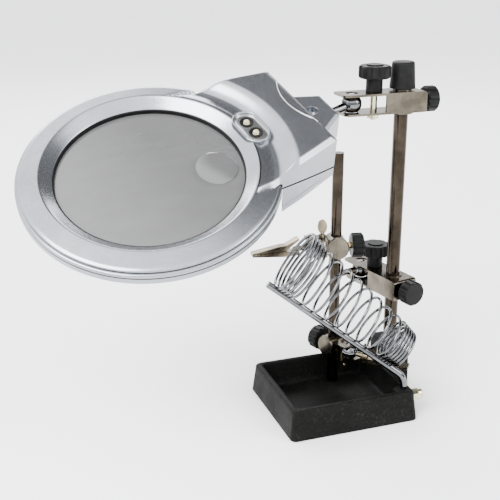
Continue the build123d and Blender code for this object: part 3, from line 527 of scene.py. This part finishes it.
def housing_outline(margin):
    """Outline of the housing in plan, from one side of the ring round the end to the other."""
    s = np.linspace(0, 1, 60)
    half = np.interp(s, HOUSING_SHARES, HOUSING_HALVES) + margin
    start = np.sqrt((LIP_R + 1) ** 2 - np.minimum(half, HOUSING_HALVES[0]) ** 2)
    u = (1 - s) * start + s * (HOUSING_END + margin)
    across = np.linspace(HOUSING_HALVES[-1] - 0.5, 0.5 - HOUSING_HALVES[-1], 60)
    side = np.stack((u, half), -1)
    end = np.stack((np.full(60, HOUSING_END + margin), across), -1)
    return np.concatenate((side, end, side[::-1] * (1, -1)))


def housing_seam():
    """Dark joint line round the housing: it leaves the ring's seam and sinks to the end."""
    u, v = housing_outline(0.02).T
    w = np.interp(u, (58, HOUSING_END), (-SEAM_W - 1.5, -HOUSING_SEAM + 3.0))
    path = in_head(u, v, w)[u > SEAM_FROM]
    return skin("housing_seam", tube(path, 0.45, 8, HEAD_N), RUBBER, "magnifier", caps=True)


def trim_line():
    """Fine raised arc on the plateau, with its ends at the housing's end."""
    turn = np.linspace(-0.66, 0.66, 80)
    u = HOUSING_END - TRIM_RISE + TRIM_R - TRIM_R * np.cos(turn)
    v = TRIM_V + TRIM_R * np.sin(turn)
    w = housing_height(u, v, np.full(80, 40.0)) + 0.05
    return skin("trim_line", tube(in_head(u, v, w), 0.3, 8, HEAD_N), PLATE, "magnifier", caps=True)


shell_front = [front_ring(), housing(), stud_block(), window_surround(), lamp_cup(1),
               lamp_cup(-1), seam_line(), housing_seam(), trim_line()]
for piece in shell_front:
    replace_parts(piece, "head_front_shell")
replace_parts(window_plate(), "led_bezel")
for piece in (lamp_dome(1), lamp_dome(-1)):
    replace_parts(piece, "leds")
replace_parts(lens_disc(), "main_lens")
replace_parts(inset_dome(), "inset_lens")
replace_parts(gasket_wall(), "lens_gasket")


# ------------------------------------------------------------------ iron holder's coil
def coil_path():
    """Helix welded along the top of the holder rod: its axis stays one radius above the
    rod, the radius falls towards the nose, and the pitch is close, open, then close."""
    along = heading(HOLDER_AZ, HOLDER_EL)
    up = unit(np.array((0, 0, 1)) - along * along[2])
    side = np.cross(along, up)
    turns = np.linspace(0, COIL_TURNS[-1], COIL_TURNS[-1] * 48 + 1)
    distance = np.interp(turns, COIL_TURNS, COIL_PLACES)
    radius = np.interp(turns, COIL_TURNS, COIL_RADII)
    swing = 2 * math.pi * turns
    rise = HOLDER_D / 2 + WIRE_D / 2 - 0.1 + radius * (1 - np.cos(swing))
    end = HOLDER_BEND + along * HOLDER_LEN
    return (end - distance[:, None] * along + rise[:, None] * up
            + (radius * np.sin(swing))[:, None] * side), along


path, along = coil_path()
coil = skin("coil_wire", tube(path, WIRE_D / 2, 12, along), CHROME, "iron_holder", caps=True)
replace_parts(coil, "iron_coil")


# ------------------------------------------------------------------ base
def rounded_rectangle(half_x, half_y, corner, count=32):
    """Outline of a rectangle with round corners, `count` points to a corner."""
    quarter = np.linspace(0, math.pi / 2, count)
    arcs = []
    for k, (sx, sy) in enumerate(((1, 1), (-1, 1), (-1, -1), (1, -1))):
        turn = quarter + k * math.pi / 2
        arcs.append(np.stack((sx * (half_x - corner) + corner * np.cos(turn),
                              sy * (half_y - corner) + corner * np.sin(turn)), -1))
    return np.concatenate(arcs)


def tray_pan():
    """Cast pan: rounded rectangles stacked along a profile that goes out from the middle of
    the underside, up the leaning wall, over the soft rim, down inside and across the floor."""
    lean = math.tan(math.radians(TRAY_DRAFT))
    inner = RIM + TRAY_Z * lean
    steps = [(30, 0), (2.0, 0), (0.4, 0.25), (0.1, 1.0), (TRAY_Z * lean * 0.95, TRAY_Z * 0.95),
             (TRAY_Z * lean + 0.5, TRAY_Z - 0.3), (TRAY_Z * lean + 1.3, TRAY_Z), (inner - 1.2, TRAY_Z),
             (inner - 0.3, TRAY_Z - 0.4), (inner, TRAY_Z - 1.2), (inner + 1.6, FLOOR_T + 2.2),
             (inner + 2.3, FLOOR_T + 0.7), (inner + 4.2, FLOOR_T), (32, FLOOR_T)]
    rows = []
    for inset, z in dense(steps, 3.0):
        corner = max(TRAY_CORNER - inset * 0.12, 1.2)
        outline = rounded_rectangle(TRAY_X / 2 - inset, TRAY_Y / 2 - inset, corner)
        rows.append(np.column_stack((outline, np.full(len(outline), z))))
    return skin("tray_pan", np.array(rows), ENAMEL, "base", caps=True, crease=50)


def soft_block(name, low_x, high_x, low_y, high_y, low_z, top, corner, taper):
    """Cast block: rounded rectangles stacked up a slightly leaning wall with a soft top."""
    steps = [(0, low_z), (taper * 0.96, top - 1.6), (taper + 0.35, top - 0.5), (taper + 1.3, top)]
    middle = np.array(((low_x + high_x) / 2, (low_y + high_y) / 2))
    rows = []
    for inset, z in steps:
        outline = rounded_rectangle((high_x - low_x) / 2 - inset, (high_y - low_y) / 2 - inset, corner)
        rows.append(np.column_stack((outline + middle, np.full(len(outline), z))))
    return skin(name, np.array(rows), ENAMEL, "base", caps=True, crease=50)


holder_seat = soft_block("holder_seat", 32.9, 44.6, -38.6, -26.5, 2.0, TRAY_Z - 0.1, 4.0, 0.6)
for piece in (tray_pan(), soft_block("post_lug", *LUG[:4], 0.0, LUG[4], 2.0, 0.7), holder_seat):
    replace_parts(piece, "base_tray")


# ------------------------------------------------------------------ floor, light and camera
def stage_floor():
    """Wide pale floor, just below the tray."""
    mesh = bpy.data.meshes.new("floor")
    corners = [(30 * x, 30 * y, -0.0002) for x, y in ((-1, -1), (1, -1), (1, 1), (-1, 1))]
    mesh.from_pydata(corners, [], [(0, 1, 2, 3)])
    floor = bpy.data.objects.new("floor", mesh)
    bpy.context.scene.collection.objects.link(floor)
    f = Finish("pale_floor")
    tone = f.noise(3, 2)
    colour = f.colours(tone, (0.3, (0.93, 0.93, 0.93)), (0.7, (0.95, 0.95, 0.95)))
    mesh.materials.append(f.finish(Base_Color=colour, Roughness=0.9, Specular_IOR_Level=0.1))


def soft_light(name, place, target, size, watts):
    data = bpy.data.lights.new(name, "AREA")
    data.shape, data.size, data.size_y, data.energy = "RECTANGLE", size[0], size[1], watts
    lamp = bpy.data.objects.new(name, data)
    bpy.context.scene.collection.objects.link(lamp)
    place = Vector(place)
    lamp.matrix_world = (Matrix.Translation(place)
                         @ (Vector(target) - place).to_track_quat("-Z", "Y").to_matrix().to_4x4())


def sky():
    """Pale surroundings: darker at the horizon, with a dark card overhead on the right."""
    world = bpy.data.worlds.new("studio")
    world.use_nodes = True
    bpy.context.scene.world = world
    tree = world.node_tree
    place = tree.nodes.new("ShaderNodeTexCoord")
    split = tree.nodes.new("ShaderNodeSeparateXYZ")
    towards = tree.nodes.new("ShaderNodeVectorMath")
    towards.operation = "DOT_PRODUCT"
    towards.inputs[1].default_value = CARD_TOWARDS
    low = tree.nodes.new("ShaderNodeMapRange")
    card = tree.nodes.new("ShaderNodeMapRange")
    both = tree.nodes.new("ShaderNodeMath")
    both.operation = "MULTIPLY"
    for node, values in ((low, (0.06, 0.34, 0.10, 4.1)), (card, (0.70, 0.86, 1.0, 0.05))):
        for socket, value in zip(list(node.inputs)[1:5], values):
            socket.default_value = value
    tree.links.new(place.outputs["Generated"], split.inputs["Vector"])
    tree.links.new(place.outputs["Generated"], towards.inputs[0])
    tree.links.new(split.outputs["Z"], low.inputs["Value"])
    tree.links.new(towards.outputs["Value"], card.inputs["Value"])
    tree.links.new(low.outputs[0], both.inputs[0])
    tree.links.new(card.outputs[0], both.inputs[1])
    tree.links.new(both.outputs[0], tree.nodes["Background"].inputs["Strength"])
    tree.nodes["Background"].inputs["Color"].default_value = (0.98, 0.99, 1.0, 1)


stage_floor()
sky()
for name, (place, size, watts) in LIGHTS.items():
    soft_light(name, place, LIT, size, watts)

camera_data = bpy.data.cameras.new("camera")
camera_data.lens, camera_data.sensor_width = 66.5, 36.0
camera = bpy.data.objects.new("camera", camera_data)
bpy.context.scene.collection.objects.link(camera)
camera.matrix_world = (Matrix.Translation(Vector(CAMERA_PLACE))
                       @ Vector(CAMERA_GAZE).to_track_quat("-Z", "Y").to_matrix().to_4x4()
                       @ Matrix.Rotation(math.radians(CAMERA_ROLL), 4, "Z"))
bpy.context.scene.camera = camera
